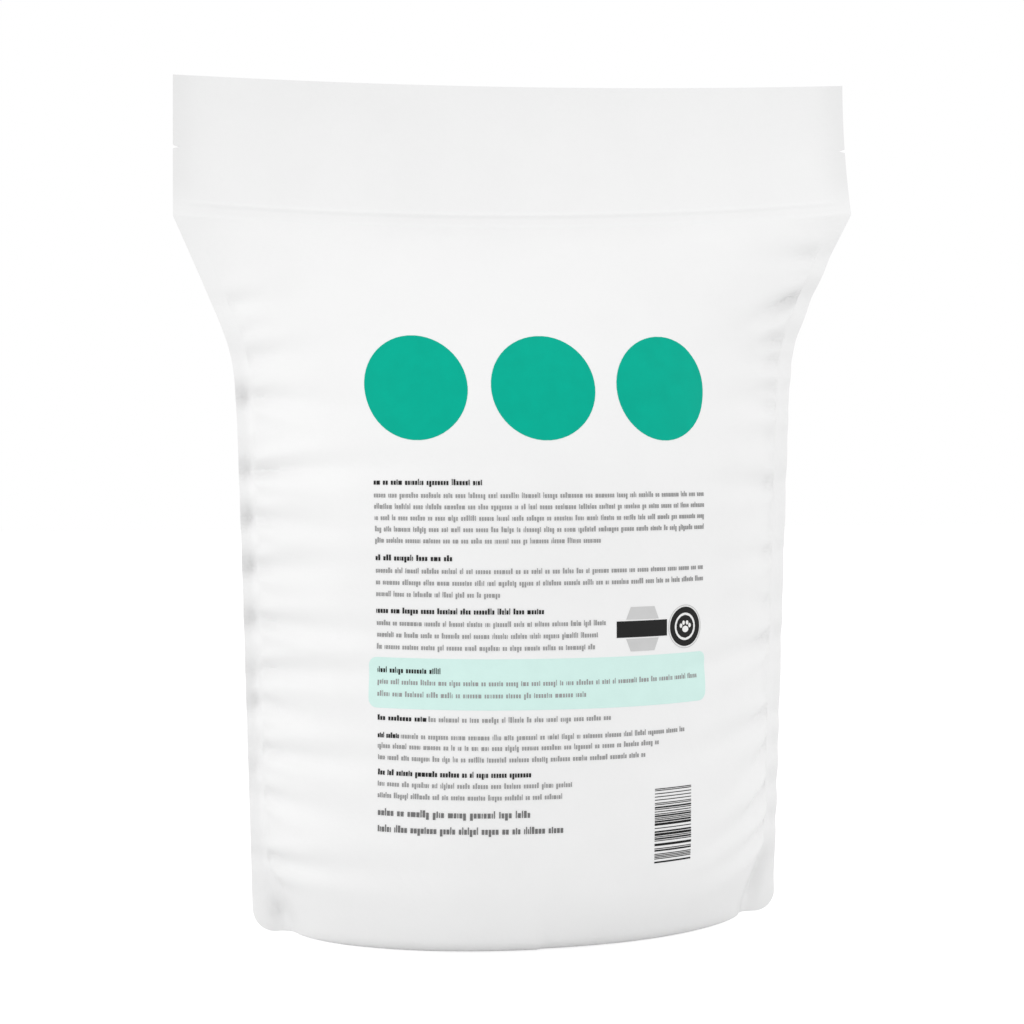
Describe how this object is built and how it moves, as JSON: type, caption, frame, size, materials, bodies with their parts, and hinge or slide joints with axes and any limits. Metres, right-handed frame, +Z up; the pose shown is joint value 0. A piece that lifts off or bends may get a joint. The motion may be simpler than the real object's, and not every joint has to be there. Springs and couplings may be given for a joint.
{
  "type": "cat litter bag",
  "caption": "Filled stand-up film pouch for cat litter, with flat side seals, a zip under a sealed header, tear notches and a gusset base.",
  "frame": {"origin": "on the floor under the middle of the pouch", "axes": "+Z up to the header, +X across the width with the left side seal at -X, the printed panel faces -Y"},
  "size_m": [0.33, 0.151, 0.4092],
  "materials": {
    "film": "white matte packaging film",
    "green_print": "flexographic ink on film, teal green",
    "mint_print": "flexographic ink on film, pale mint",
    "dark_print": "flexographic ink on film, near black",
    "grey_print": "flexographic ink on film, mid grey"
  },
  "bodies": {
    "root": {"litter_bag": "film"}
  },
  "joints": []
}
